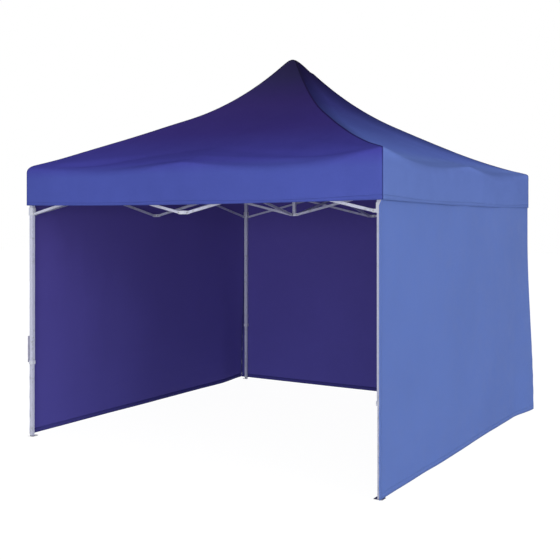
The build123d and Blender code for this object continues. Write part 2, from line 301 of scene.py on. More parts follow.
# ---------------------------------------------------------------------------------------------------
# Truss. Flat steel bars in the same white powder coat cross in pairs along each side, and from the
# middle of each side to the hubs. A zinc bolt holds each crossing.
SIDES = ("front", "right", "back", "left")

for side in SIDES:
    left_end, right_end = [c for c in CORNERS if side in c]
    for height_word in ("high", "low"):
        finished(f"arm_bar_{side}_{height_word}", white_paint)
        for corner in (left_end, right_end):
            finished(f"side_bar_{side}_to_{corner}_{height_word}", white_paint)


# ---------------------------------------------------------------------------------------------------
# Hubs, mid connectors and mast. The connectors are moulded nylon with a zinc bolt through each pair
# of ears. The mast is a coated tube fixed in the lower hub, and its nylon cap carries the roof.
for side in SIDES:
    finished("mid_top_" + side, white_nylon)
    finished("mid_bottom_" + side, white_nylon)
finished("hub_upper", white_nylon)
finished("hub_lower", white_nylon)
finished("mast", white_paint)
finished("mast_cap", white_nylon)


# ---------------------------------------------------------------------------------------------------
# Roof. One cover of coated polyester, cut in four gores and a valance and sewn into a single sheet. It
# is pulled tight from the mast to the leg tops, and sags a little along the eaves between them.
weave, taken, given = new_group(
    "woven_cloth",
    {"Thread": (0.1, 0.1, 0.4, 1.0), "Gap": (0.05, 0.05, 0.2, 1.0), "Pitch": 0.0011},
    {"Colour": "Color", "Height": "Float"},
)
place, across, along, up = own_place(weave)
turns = calculate(weave, "DIVIDE", 2 * math.pi, taken["Pitch"])
ribs = [
    calculate(weave, "SINE", calculate(weave, "MULTIPLY", axis, turns)) for axis in (across, along, up)
]
knots = calculate(weave, "MULTIPLY", ribs[0], ribs[2])
knots = calculate(weave, "ADD", knots, calculate(weave, "MULTIPLY", ribs[1], ribs[2]))
knots = calculate(weave, "ADD", knots, calculate(weave, "MULTIPLY", ribs[0], ribs[1]))
slubs = noise_of(weave, place, 160.0, 2.0)
relief = calculate(weave, "ADD", between(weave, knots, -1.5, 1.5), calculate(weave, "MULTIPLY", slubs, 0.5))
feed(weave, given, {"Colour": mixed(weave, between(weave, relief, 0.2, 1.2), taken["Gap"], taken["Thread"])})
feed(weave, given, {"Height": relief})

aged, taken, given = new_group(
    "cloth_tone",
    {"Colour": (0.1, 0.1, 0.4, 1.0), "Dust": (0.16, 0.18, 0.32, 1.0), "Patches": 0.04, "Dusty": 0.02},
    {"Colour": "Color", "Rough": "Float"},
)
place = own_place(aged)[0]
broad = between(aged, noise_of(aged, place, 1.3, 3.0), 0.3, 0.7, -1.0, 1.0)
fine = between(aged, noise_of(aged, place, 11.0, 4.0), 0.3, 0.7, -0.5, 0.5)
shift = calculate(aged, "MULTIPLY", calculate(aged, "ADD", broad, fine), taken["Patches"])
toned = mixed(aged, 1.0, taken["Colour"], calculate(aged, "ADD", shift, 1.0), "MULTIPLY")
dusty = between(aged, noise_of(aged, place, 3.1, 6.0, 0.7), 0.45, 0.8)
dust = calculate(aged, "MULTIPLY", dusty, taken["Dusty"])
feed(aged, given, {"Colour": mixed(aged, dust, toned, taken["Dust"])})
feed(aged, given, {"Rough": between(aged, fine, -0.5, 0.5, 0.56, 0.70)})

# The cloth's colour in the gaps between its threads, as a share of the threads' own.
GAP_SHADE = (0.74, 0.70, 0.78, 1.0)


def coloured_by_height(tree, colours):
    """The colour at each height of a cloth. colours holds (height, red, green, blue), the lowest first."""
    low, high = colours[0][0], colours[-1][0]
    ramp = new_node(tree, "ShaderNodeValToRGB")
    stops = ramp.color_ramp.elements
    stops[0].color = (*colours[0][1:], 1.0)
    stops[1].color = (*colours[-1][1:], 1.0)
    for height, *colour in colours[1:-1]:
        stops.new((height - low) / (high - low)).color = (*colour, 1.0)
    share = between(tree, own_place(tree)[3], low, high)
    return feed(tree, ramp, {"Fac": share}).outputs["Color"]


def cloth_material(name, colours, gloss=0.0, painted_hip_shade=0.0, painted_glow=(0.0, 0.0, 0.0, 1.0)):
    """Coated polyester in these colours, with painted shade beside the hips by the share given.
    The glow given is painted light, standing in for light that comes through the cloth from its other side."""
    lit = {"Specular IOR Level": gloss, "Emission Color": painted_glow, "Emission Strength": 1.0}
    made, tree, shader = new_material(name, **lit)
    _, across, along, up = own_place(tree)
    # Painted shade: the cloth is darker beside each hip, on the roof only, above the eave.
    from_hip = calculate(tree, "SUBTRACT", across, calculate(tree, "ABSOLUTE", along))
    hip_shade_mask = calculate(tree, "MULTIPLY", between(tree, from_hip, 0.30, 0.0), between(tree, up, 2.05, 2.25))
    shade = between(tree, hip_shade_mask, 0.0, 1.0, 1.0, 1.0 - painted_hip_shade)
    thread = mixed(tree, 1.0, coloured_by_height(tree, colours), shade, "MULTIPLY")
    woven = placed(tree, weave, thread=thread, gap=mixed(tree, 1.0, thread, GAP_SHADE, "MULTIPLY"))
    tone = placed(tree, aged, colour=woven["Colour"])
    feed(tree, shader, {"Base Color": tone["Colour"], "Roughness": tone["Rough"]})
    bump(tree, shader, woven["Height"], 0.35, 0.0002)
    return made


# The cover darkens towards its peak, a painted shade. The right-hand gore and its valance get a lighter,
# greener copy of the colour, painted light and sheen, with a painted lighter band just over the eave.
COVER_BLUE = (
    (1.76, 0.081, 0.111, 0.440),
    (1.95, 0.079, 0.106, 0.430),
    (2.04, 0.068, 0.070, 0.385),
    (2.12, 0.060, 0.056, 0.320),
    (2.30, 0.050, 0.037, 0.222),
    (2.55, 0.042, 0.029, 0.158),
    (2.80, 0.029, 0.025, 0.088),
    (2.95, 0.024, 0.020, 0.064),
)
COVER_LIT_GREENER = (
    (1.76, 0.130, 0.203, 0.508),
    (1.98, 0.126, 0.194, 0.502),
    (2.06, 0.145, 0.226, 0.590),
    (2.14, 0.122, 0.186, 0.570),
    (2.35, 0.074, 0.102, 0.366),
    (2.55, 0.042, 0.045, 0.205),
    (2.80, 0.023, 0.018, 0.090),
    (2.95, 0.020, 0.014, 0.064),
)
# The walls take a lighter, greener blue, a painted light and sheen like the right-hand gore's, a little
# darker towards the top.
WALL_BLUE = ((0.0, 0.121, 0.202, 0.515), (2.0, 0.109, 0.181, 0.486))
# The coated back is darker and more purple than the outer face, and darker towards the top: partly the
# coating's own colour, partly painted shade.
COATING = ((0.0, 0.076, 0.072, 0.330), (2.0, 0.068, 0.053, 0.255))
cover_blue = cloth_material("blue_polyester", COVER_BLUE)
# The right-hand gore carries painted shade beside its hips.
cover_right = cloth_material("blue_polyester_right", COVER_LIT_GREENER, painted_hip_shade=0.45)
wall_blue = cloth_material("wall_polyester", WALL_BLUE, gloss=0.08)
# The coated back glows faintly: painted light, standing in for light that comes through the cloth.
coated_back = cloth_material("coated_back", COATING, gloss=0.08, painted_glow=(0.010, 0.0075, 0.032, 1.0))

roof_low, roof_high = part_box("roof")
ROOF_HALF = roof_high.x
HEM_Z = roof_low.z
# The slope from the eave up, and the steeper lift towards the mast, over a share of the way out.
EAVE_Z = 2.041
FALL = 0.690
PEAK_LIFT = 0.262
LIFT_REACH = 0.43
LIFT_POWER = 2.2
# The front right corner is pulled up a little higher than the others.
CORNER_RISE = 0.022
# How deep each hip sags, and how far down the hip its deepest place lies.
HIP_SAG = {
    "front_right": (0.042, 1.7),
    "back_right": (0.039, 2.1),
    "back_left": (0.030, 1.8),
    "front_left": (0.010, 1.8),
}
# A hip is rounded over this width at the eave, and over the smaller one at the peak.
HIP_ROUND = 0.06
HIP_ROUND_LEAST = 0.004
# The round tip over the mast's cap.
TIP = Vector((-0.012, -0.007, roof_high.z + 0.004))
TIP_RADIUS = 0.055
TIP_SLOPE = 0.95
TIP_REACH = 0.16
TIP_BLEND = 0.014
# How round each corner is in plan, and how much softer its fold over the eave is.
CORNER_ROUND = {"front_right": 0.010, "back_right": 0.013, "back_left": 0.013, "front_left": 0.020}
CORNER_FOLD = {"front_right": 0.0, "back_right": 0.004, "back_left": 0.006, "front_left": 0.024}
# The sag of each face, of the eave at a mid connector, and of each eave's left and right halves.
FACE_SAG = 0.050
MID_SAG = 0.014
QUARTER_SAG = {
    "front": (0.050, 0.074),
    "right": (0.052, 0.040),
    "back": (0.050, 0.040),
    "left": (0.035, 0.045),
}
SLACK_LUMPS = 0.006
# The fold over the eave, where it lies on the frame and where it hangs between.
TIGHT_FOLD = 0.012
SOFT_FOLD = 0.030
# How far the valance's ripples and corner pulls stand out, and how far its hem hangs down.
VALANCE_RIPPLE = 0.011
CORNER_PULL = 0.0035
HEM_BELOW = 0.010
HEM_SAG = 0.012
CLOTH_THICK = 0.0012
SIDE_CUTS = 112
SLOPE_ROWS = 60
FOLD_ROWS = 8
DROP_ROWS = 14
FOLD_SHARE = 0.12


def smooth_step(value, low, high):
    """0 below low, 1 above high, and a soft ramp between them."""
    share = min(1.0, max(0.0, (value - low) / (high - low)))
    return share * share * (3 - 2 * share)


def soft_least(first, second, width):
    """The smaller of two heights, with the corner between them rounded over this width."""
    near = max(width - abs(first - second), 0.0) / width
    return min(first, second) - near * near * width / 4


def slackness(along):
    """0 where the eave lies on a leg top or a mid connector, and 1 half way between them."""
    return abs(math.sin(math.pi * along)) ** 1.3


def eave_sag(side, along):
    """How far the eave hangs below the line between two leg tops. along is -1 at one and 1 at the other."""
    return MID_SAG * (1 - along ** 4) + QUARTER_SAG[side][along > 0] * slackness(along)


# Each crease is its angle from the eave in radians, its height, its half width and its length.
CREASES = (
    (0.035, -0.0090, 0.022, 0.50),
    (0.115, 0.0110, 0.028, 0.58),
    (0.215, -0.0100, 0.032, 0.44),
    (0.390, 0.0050, 0.042, 0.36),
    (0.640, -0.0035, 0.050, 0.30),
)


def pull_creases(x, y):
    """The creases that fan out over the roof from each leg top."""
    in_x = ROOF_HALF - abs(x)
    in_y = ROOF_HALF - abs(y)
    far = math.hypot(in_x, in_y)
    if far < 1e-6:
        return 0.0
    angle = math.atan2(min(in_x, in_y), max(in_x, in_y))
    corner = (x > 0) + 2 * (y > 0) + 4 * (in_x > in_y)
    total = 0.0
    for number, (direction, tall, wide, reach) in enumerate(CREASES):
        own = noise.noise(Vector((corner * 3.7, number * 5.1, 0.5)))
        aim = direction * (1 + 0.35 * own) + 0.04 * math.sin(3 * far + corner)
        stretch = far / (reach * (1 + 0.5 * own))
        side_step = (angle - aim) * far / (wide * (1 + 0.4 * far))
        total += tall * (1 + own) * stretch * math.exp(1 - stretch - side_step * side_step)
    return total


def corner_of(side, share):
    """The corner at this end of a side."""
    return CORNERS[(SIDES.index(side) - (share < 0)) % 4]


def fold_inset(side, along):
    """How far in from the eave's plane the cover starts to fold over it."""
    soft_corner = CORNER_FOLD[corner_of(side, along)] * smooth_step(abs(along), 0.93, 1.0)
    return TIGHT_FOLD + SOFT_FOLD * slackness(along) + soft_corner


def roof_height(x, y):
    """The roof's height over a point of the ground, out to the eave."""
    far, near = max(abs(x), abs(y)), min(abs(x), abs(y))
    ridge = HIP_ROUND * far / ROOF_HALF * (1 - (far / ROOF_HALF) ** 6) + HIP_ROUND_LEAST
    reach = max(ridge - (far - near), 0.0) / ridge
    share = min(1.0, (far + reach * reach * ridge / 4) / ROOF_HALF)
    along_x, along_y = (x / far, y / far) if far > 0 else (0.0, 0.0)
    sag = 0.0
    for corner, (depth, lowness) in HIP_SAG.items():
        to_x = 1 if "right" in corner else -1
        to_y = 1 if "back" in corner else -1
        depth *= (1 + to_x * along_x) * (1 + to_y * along_y) / 4
        sag += depth * math.sin(math.pi * share ** lowness)
    near_corner = (1 + along_x) * (1 - along_y) / 4
    along = (along_x * -along_y, along_y * along_x)[abs(x) > abs(y)]
    side = SIDES[(2 * (y > 0), 3 - 2 * (x > 0))[abs(x) > abs(y)]]
    height = EAVE_Z + FALL * (1 - share)
    height += PEAK_LIFT * max(0.0, 1 - share / LIFT_REACH) ** LIFT_POWER
    height -= sag
    height += CORNER_RISE * near_corner ** 4 * share ** 3
    height -= FACE_SAG * (1 - along * along) * 4 * share * (1 - share)
    height -= eave_sag(side, along) * share ** 6
    slack = noise.noise(Vector((x * 2.1, y * 2.1, 3.3))) + 0.5 * noise.noise(Vector((x * 5.0, y * 5.0, 8.1)))
    height += SLACK_LUMPS * slack * share * (1 - share ** 8)
    height += pull_creases(x, y) * smooth_step(ROOF_HALF - fold_inset(side, along) - far, 0.0, 0.08)
    reach = math.hypot(x - TIP.x, y - TIP.y)
    if reach > TIP_REACH:
        return height
    over_cap = TIP.z - TIP_SLOPE * (math.hypot(reach, TIP_RADIUS) - TIP_RADIUS)
    return soft_least(height, over_cap, TIP_BLEND)


def turned(side, along, out, z):
    """A point given along a side and out from the middle, in the object's own frame."""
    number = SIDES.index(side)
    x, y = ((along, -out), (out, along), (-along, out), (-out, -along))[number]
    return Vector((x, y, z))


def valance_swing(side, share, drop):
    """How far the valance stands out from its plane. drop is 0 at the eave and 1 at the hem."""
    seed = SIDES.index(side) * 7.7
    ripple = noise.noise(Vector((share * 3.6 + seed, drop * 0.7, 1.7)))
    ripple += 0.45 * noise.noise(Vector((share * 9.0 + seed, drop * 1.5, 4.2)))
    from_corner = (1 - abs(share)) * ROOF_HALF
    pull = CORNER_PULL * math.sin(22 * (drop * 0.28 - from_corner) + seed) * math.exp(-from_corner / 0.25)
    return (VALANCE_RIPPLE * ripple * drop + pull * math.sin(math.pi * drop)) * (1 - share ** 10)


def slope_point(side, share, out):
    """The cover's slope over a place out from the middle."""
    place = turned(side, share * out, out, 0)
    return Vector((place.x, place.y, roof_height(place.x, place.y)))


def eave_fold(side, share):
    """The fold over the eave: how far out and how high it starts, how steep it is there, and its radius."""
    inset = fold_inset(side, share)
    rim = ROOF_HALF - inset
    top = slope_point(side, share, rim).z
    steep = math.atan2(slope_point(side, share, rim - 0.01).z - top, 0.01)
    return rim, top, steep, inset / (1 - math.sin(steep))


def rounded(side, share, row, along, out, z):
    """A point of the cover, moved in near a corner so that the corner is round in plan."""
    radius = CORNER_ROUND[corner_of(side, share)] * smooth_step(row, 0.85, 1.0)
    from_corner = out - abs(along)
    if from_corner < radius:
        angle = math.pi / 4 * (1 - from_corner / radius)
        along = math.copysign(out - radius * (1 - math.sin(angle)), along)
        out -= radius * (1 - math.cos(angle))
    return turned(side, along, out, z)


def roof_point(side, share, row):
    """The cover at rest. share runs -1 to 1 along a side, and row 0 to 1 down the slope, to 2 at the hem."""
    if row <= 1:
        out = row * (ROOF_HALF - fold_inset(side, share))
        return rounded(side, share, row, share * out, out, slope_point(side, share, out).z)
    rim, top, steep, radius = eave_fold(side, share)
    drop = row - 1
    heading = steep + (math.pi / 2 - steep) * min(drop / FOLD_SHARE, 1.0)
    out = rim + radius * (math.sin(heading) - math.sin(steep))
    start = top - radius * (math.cos(steep) - math.cos(heading))
    down = max(drop - FOLD_SHARE, 0.0) / (1 - FOLD_SHARE)
    hem = HEM_Z - HEM_BELOW - HEM_SAG * (1 - share * share)
    swing = valance_swing(side, share, down)
    return rounded(side, share, row, share * out, out + swing, start + (hem - start) * down)


# Folded, the cover lies in a pile of upright folds on top of the folded truss, and the valance hangs
# round it in pleats. The pile's outline is (row, out from the middle, height).
# LEG_TRAVEL is how far in along each axis a leg comes, and MAST_TRAVEL how far down the mast comes.
LEG_TRAVEL = 1.324
MAST_TRAVEL = 1.099
PILE = (
    (0.00, 0.000, 2.150),
    (0.06, 0.030, 2.240),
    (0.12, 0.050, 2.330),
    (0.20, 0.065, 2.200),
    (0.28, 0.080, 2.090),
    (0.36, 0.100, 2.230),
    (0.42, 0.120, 2.300),
    (0.50, 0.140, 2.200),
    (0.58, 0.155, 2.090),
    (0.66, 0.180, 2.180),
    (0.74, 0.215, 2.190),
    (0.82, 0.262, 2.150),
    (0.88, 0.270, 2.095),
    (0.94, 0.225, 2.062),
    (1.00, 0.172, 2.043),
)
PLEATS = 6
PLEAT_DEPTH = 0.085
FOLDED_OUT, FOLDED_TOP = PILE[-1][1:]
FOLDED_DROP = 0.28
FOLDED_FLARE = 0.045


def pile_place(row):
    """Out and up on the pile's outline, on a smooth curve through its points."""
    last = len(PILE) - 1
    number = max(i for i in range(last) if PILE[i][0] <= row or i == 0)
    before, first, second, after = [Vector(PILE[min(max(number + i, 0), last)]) for i in (-1, 0, 1, 2)]
    t = (row - first.x) / (second.x - first.x)
    place = 0.5 * (
        2 * first
        + (second - before) * t
        + (2 * before - 5 * first + 4 * second - after) * t * t
        + (3 * first - before - 3 * second + after) * t ** 3
    )
    return place.y, place.z


def roof_folded(side, share, row):
    """The same point of the cover with the frame folded."""
    seed = SIDES.index(side) * 3.3
    uneven = noise.noise(Vector((share * 2.5 + seed, min(row, 1.0) * 2.0, 6.6)))
    shifted = noise.noise(Vector((share * 1.7 + seed, min(row, 1.2) * 0.8, 9.4)))
    phase = PLEATS * share + 1.1 * math.cos(math.pi * share / 2) * shifted
    pleat = 0.5 - 0.5 * math.cos(2 * math.pi * phase)
    pleat *= (1 + 0.9 * uneven) * smooth_step(1 - abs(share), 0.0, 0.08)
    if row <= 1:
        out, z = pile_place(row)
        z += 0.07 * uneven * math.sin(math.pi * row)
        depth = PLEAT_DEPTH * row
    else:
        out = FOLDED_OUT + FOLDED_FLARE * smooth_step(row - 1, 0.0, 0.5)
        z = min(roof_point(side, share, row).z, FOLDED_TOP - FOLDED_DROP * (row - 1))
        z -= 0.03 * abs(shifted) * (row - 1)
        depth = PLEAT_DEPTH * (1 + 0.35 * (row - 1))
    return turned(side, share * out, out + depth * pleat, z)


def roof_pull(rest, folded):
    """The shares of the legs' and mast's travel that carry a point from rest to its folded place."""
    step = folded - rest
    inward_x = max(-1.0, min(1.0, -step.x / LEG_TRAVEL))
    inward_y = max(-1.0, min(1.0, step.y / LEG_TRAVEL))
    return {
        "leg_front_right": (1 + inward_x) * (1 + inward_y) / 4,
        "leg_front_left": (1 - inward_x) * (1 + inward_y) / 4,
        "leg_back_right": (1 + inward_x) * (1 - inward_y) / 4,
        "leg_back_left": (1 - inward_x) * (1 - inward_y) / 4,
        "lower_hub_and_mast": max(0.0, -step.z / MAST_TRAVEL),
    }


def roof_place(side, share, row):
    """A point of the cover at rest, and its pulls."""
    rest = roof_point(side, share, row)
    return rest, roof_pull(rest, roof_folded(side, share, row))


def hang(piece, carrier, pulls):
    """The piece rides on carrier, and each of its points also follows the bodies in pulls by its share."""
    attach(piece, carrier)
    for body in sorted({name for pull in pulls for name in pull}):
        shares = piece.vertex_groups.new(name=body)
        for number, pull in enumerate(pulls):
            if pull.get(body, 0.0) > 1e-5:
                shares.add([number], pull[body], "REPLACE")
        hook = piece.modifiers.new(body, "HOOK")
        hook.object = frame["bodies"][body]
        hook.vertex_group = body


def thicken(piece, thick, place=-1.0, back=0):
    """Gives a sheet its thickness. place is -1 where it grows inward, and back the inner side's material."""
    made = piece.modifiers.new("thickness", "SOLIDIFY")
    made.thickness = thick
    made.offset = place
    made.material_offset = back
    made.material_offset_rim = 0


def new_piece(name, points, faces, materials, smooth=True):
    """A mesh object from its points and faces."""
    mesh = bpy.data.meshes.new(name)
    mesh.from_pydata([tuple(p) for p in points], [], faces)
    for material in materials:
        mesh.materials.append(material)
    mesh.polygons.foreach_set("use_smooth", [smooth] * len(mesh.polygons))
    mesh.update()
    piece = bpy.data.objects.new(name, mesh)
    bpy.context.scene.collection.objects.link(piece)
    return piece


def side_shares(cuts):
    """Places along a side from -1 to 1, closer together at its ends, where the creases are."""
    spread = [-1 + 2 * i / cuts for i in range(cuts + 1)]
    return [0.55 * s + 0.45 * math.sin(s * math.pi / 2) for s in spread]


def ring_faces(count, levels, first):
    """The faces between rings of this many points each. first is the number of the first point."""
    faces = []
    for start in range(first, first + (levels - 1) * count, count):
        for i in range(count):
            after = (i + 1) % count
            faces.append((start + i, start + count + i, start + count + after, start + after))
    return faces


slope_rows = [(i + 1) / SLOPE_ROWS for i in range(SLOPE_ROWS)]
slope_rows = [row - 0.35 * math.sin(2 * math.pi * row) / (2 * math.pi) for row in slope_rows]
fold_rows = [1 + FOLD_SHARE * (i + 1) / FOLD_ROWS for i in range(FOLD_ROWS)]
drop_rows = [1 + FOLD_SHARE + (1 - FOLD_SHARE) * (i + 1) / DROP_ROWS for i in range(DROP_ROWS)]
roof_rows = slope_rows + fold_rows + drop_rows
shares = side_shares(SIDE_CUTS)[:-1]
around = [(side, share) for side in SIDES for share in shares]
places = [roof_place("front", 0.0, 0.0)]
places += [roof_place(side, share, row) for row in roof_rows for side, share in around]
points, pulls = zip(*places)
ring = len(around)
faces = [(0, 1 + i, 1 + (i + 1) % ring) for i in range(ring)]
faces += ring_faces(ring, len(roof_rows), 1)
roof_cloth = new_piece("roof_cloth", points, faces, [cover_blue, coated_back, cover_right, coated_back])
for number, face in enumerate(roof_cloth.data.polygons):
    if SIDE_CUTS <= number % ring < 2 * SIDE_CUTS:
        face.material_index = 2
hang(roof_cloth, "upper_hub", pulls)
thicken(roof_cloth, CLOTH_THICK, back=1)
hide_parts("roof")


# ---------------------------------------------------------------------------------------------------
# Roof seams. A narrow tape of the same cloth is sewn over each hip and down the valance's corner, and
# the valance has a doubled hem with two rows of stitches.
stitched, taken, given = new_group(
    "sewn_rows", {"Pitch": 0.0036, "Inset": 0.16}, {"Thread": "Float", "Height": "Float"}
)
spot = new_node(stitched, "ShaderNodeUVMap", uv_map="tape").outputs["UV"]
split = feed(stitched, new_node(stitched, "ShaderNodeSeparateXYZ"), {"Vector": spot})
from_edge = calculate(stitched, "SUBTRACT", 0.5, calculate(
    stitched, "ABSOLUTE", calculate(stitched, "SUBTRACT", split.outputs[0], 0.5)
))
off_row = calculate(stitched, "ABSOLUTE", calculate(stitched, "SUBTRACT", from_edge, taken["Inset"]))
on_row = between(stitched, off_row, 0.055, 0.020)
step = calculate(stitched, "FRACT", calculate(stitched, "DIVIDE", split.outputs[1], taken["Pitch"]))
off_stitch = calculate(stitched, "ABSOLUTE", calculate(stitched, "SUBTRACT", step, 0.5))
thread = calculate(stitched, "MULTIPLY", on_row, between(stitched, off_stitch, 0.40, 0.30))
pucker = calculate(stitched, "MULTIPLY", between(stitched, off_row, 0.16, 0.0), -0.6)
feed(stitched, given, {"Thread": thread, "Height": calculate(stitched, "ADD", thread, pucker)})


def tape_material(name, colours, shade, gloss=0.0):
    """Sewn tape of the cover's cloth, a shade darker, with a row of stitches near each edge."""
    made, tree, shader = new_material(name, **{"Specular IOR Level": gloss})
    thread = mixed(tree, 1.0, coloured_by_height(tree, colours), (shade, shade, shade, 1.0), "MULTIPLY")
    woven = placed(tree, weave, thread=thread, gap=mixed(tree, 1.0, thread, GAP_SHADE, "MULTIPLY"))
    tone = placed(tree, aged, colour=woven["Colour"])
    sewn = placed(tree, stitched, pitch=0.0036)
    in_thread = mixed(tree, 1.0, thread, (0.88, 0.88, 0.88, 1.0), "MULTIPLY")
    feed(tree, shader, {"Base Color": mixed(tree, sewn["Thread"], tone["Colour"], in_thread)})
    feed(tree, shader, {"Roughness": tone["Rough"]})
    relief = calculate(tree, "ADD", calculate(tree, "MULTIPLY", woven["Height"], 0.3), sewn["Height"])
    bump(tree, shader, relief, 0.4, 0.0003)
    return made


# The hip tape is painted at half the cover's colour: painted shade, a dark line where the hips fold and turn
# from view.
painted_shade_tape = tape_material("hip_tape", COVER_BLUE, 0.50)
hem_blue = tape_material("valance_hem", COVER_BLUE, 0.96)
hem_right_blue = tape_material("valance_hem_right", COVER_LIT_GREENER, 0.96)
wall_hem_blue = tape_material("wall_hem", WALL_BLUE, 1.0, gloss=0.08)
# The inner side of the hems is painted darker: painted shade, a thin dark line along the hems.
hem_inside = tape_material("hem_inside", COATING, 0.82, gloss=0.08)


def sewn_strip(name, lattice, carrier, material, thick, lift=0.0002, both=False, closed=False):
    """A strip of cloth sewn on another. lattice holds rows of (point, pulls, across, along), and the
    strip stands lift off the cloth, or takes the cloth's edge between its two layers if both is set."""
    wide = len(lattice[0])
    points = [spot[0] for row in lattice for spot in row]
    pulls = [spot[1] for row in lattice for spot in row]
    faces = []
    for level in range(len(lattice) - 1):
        for i in range(wide if closed else wide - 1):
            start, after = level * wide + i, level * wide + (i + 1) % wide
            faces.append((start, start + wide, after + wide, after))
    strip = new_piece(name, points, faces, [material, hem_inside])
    mesh = strip.data
    normals = [vertex.normal.copy() for vertex in mesh.vertices]
    for vertex, normal in zip(mesh.vertices, normals):
        vertex.co += normal * lift
    spots = [spot[2:] for row in lattice for spot in row]
    own_map = mesh.uv_layers.new(name="tape")
    for face in mesh.polygons:
        for loop in face.loop_indices:
            own_map.data[loop].uv = spots[mesh.loops[loop].vertex_index]
        wrapped = [own_map.data[loop].uv.y for loop in face.loop_indices]
        if max(wrapped) - min(wrapped) > 1.0:
            for loop in face.loop_indices:
                if own_map.data[loop].uv.y < 1.0:
                    own_map.data[loop].uv.y = max(wrapped)
    hang(strip, carrier, pulls)
    thicken(strip, thick, place=0.0 if both else 1.0, back=1 if both else 0)
    return strip


# A hip tape's width, and how much narrower it is down the valance's corner.
HIP_TAPE = 0.018
CORNER_NARROWER = 0.6
HEM_DEEP = 0.026
TAPE_THICK = 0.0010
HEM_THICK = 0.0020
EDGE_THICK = 0.0024
tape_rows = [row for row in roof_rows if row > 0.02]
for number, corner in enumerate(CORNERS):
    sides = (SIDES[number], SIDES[(number + 1) % 4])
    lattice = []
    run = 0.0
    for row in tape_rows:
        middle = roof_point(sides[0], 1.0, row)
        run += (middle - lattice[-1][2][0]).length if lattice else 0.0
        out = max(abs(middle.x), abs(middle.y))
        line = []
        for step in (-2, -1, 0, 1, 2):
            off = abs(step) * HIP_TAPE * (1 - CORNER_NARROWER * smooth_step(row, 0.97, 1.05)) / 4 / out
            side, share = (sides[0], 1 - off) if step <= 0 else (sides[1], off - 1)
            line.append((*roof_place(side, share, row), (step + 2) / 4, run))
        lattice.append(line)
    tape = sewn_strip(f"hip_tape_{corner}", lattice, "upper_hub", painted_shade_tape, TAPE_THICK)


def round_the_cover(name, rows, material, thick, lift, both):
    """A band sewn all round the cover between the first and the last of these rows."""
    lattice = []
    for level, row in enumerate(rows):
        line = []
        for side, share in around:
            distance = (SIDES.index(side) * 2 + share + 1) * ROOF_HALF
            line.append((*roof_place(side, share, row), level / (len(rows) - 1), distance))
        lattice.append(line)
    return sewn_strip(name, lattice, "upper_hub", material, thick, lift, both, closed=True)


drop = EAVE_Z - HEM_Z
hem_rows = (2 - HEM_DEEP / drop, 2 - HEM_DEEP / drop / 2, 2.004)
valance_hem = round_the_cover("valance_hem", hem_rows, hem_blue, HEM_THICK, -CLOTH_THICK / 2, True)
valance_hem.data.materials.append(hem_right_blue)
valance_hem.data.materials.append(hem_inside)
for number, face in enumerate(valance_hem.data.polygons):
    if SIDE_CUTS <= number % ring < 2 * SIDE_CUTS:
        face.material_index = 2


# ---------------------------------------------------------------------------------------------------
# Side walls. Three plain panels of the same polyester close the back, the left and the right. Each is
# held by touch tape along its top, under the valance, and hangs straight to the ground.
WALL_CUTS = 240
WALL_ROWS = 56
WALL_PLEATS = 24
WALL_PLEAT_DEPTH = 0.055
WALL_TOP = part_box("wall_right")[1].z
WALL_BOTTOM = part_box("wall_right")[0].z - 0.014
HELD_AT = 1.440
WALL_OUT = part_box("wall_right")[0].x
# Below RISING_Z the walls rise with the inner legs, and keep faint ripples from being gathered.
RISING_Z = 0.62
GATHER_RIPPLE = 0.0012
GATHER_PITCH = 0.135
WALL_SWING = 0.010
FLARE = 0.052
BACK_FLARE = 0.93
# The walls narrow to INSIDE_VALANCE over the heights of TUCK, and stop under the cover's fold.
INSIDE_VALANCE = 1.486
TUCK = (1.736, 1.755)
UNDER_FOLD = 0.0065
TOP_GAP = 0.010
# Folded, the pleats are shallower over the heights of FLATTER, inside the valance, by this share.
FLATTER = (1.60, 1.80)
FLATTER_BY = 0.85
WALL_TALL = 1.98
# How far past the middle each wall's two ends reach, as seen from outside: left end and right end.
WALL_ENDS = {"right": (1.517, 1.484), "back": (1.478, 1.478), "left": (1.484, 1.458)}
WALL_CORNERS = {
    "right": ("front_right", "back_right"),
    "back": ("back_right", "back_left"),
    "left": ("back_left", "front_left"),
}


def wall_flare(height_share):
    """How far the loose lower back corners of the walls stand out past the legs."""
    return FLARE * smooth_step(1 - height_share, 0.25, 1.0)


@functools.cache
def wall_top(side, share):
    """How high a wall reaches, just under the cover where that sags below the truss."""
    _, top, steep, radius = eave_fold(side, max(-1.0, min(1.0, share)))
    heading = math.asin(1 - UNDER_FOLD / radius)
    return min(WALL_TOP, top - radius * (math.cos(steep) - math.cos(heading)) - TOP_GAP)


def wall_point(side, share, height_share):
    """A wall at rest. share runs -1 to 1 from its left end to its right, and height_share 0 to 1 upward."""
    z = WALL_BOTTOM + (wall_top(side, share) - WALL_BOTTOM) * height_share
    reach = WALL_ENDS[side][share > 0]
    reach += (min(reach, INSIDE_VALANCE) - reach) * smooth_step(z, *TUCK)
    free = 1 - height_share
    seed = SIDES.index(side) * 9.1
    sway = noise.noise(Vector((share * 2.2 + seed, z * 0.8, 2.2)))
    sway += 0.35 * noise.noise(Vector((share * 6.5 + seed, z * 1.4, 5.5)))
    swing = WALL_SWING * (sway + 0.25) * math.sin(math.pi * min(free, 0.75)) * (1 - share ** 6)
    ripple = GATHER_RIPPLE * math.sin(2 * math.pi * z / GATHER_PITCH) * smooth_step(RISING_Z - z, 0.0, 0.1)
    out = WALL_OUT + max(swing + ripple, -0.001)
    if side == "back":
        reach += BACK_FLARE * wall_flare(height_share)
    else:
        towards_back = share if side == "right" else -share
        out += wall_flare(height_share) * smooth_step(towards_back, 0.70, 1.0)
    return turned(side, share * reach, out, z)


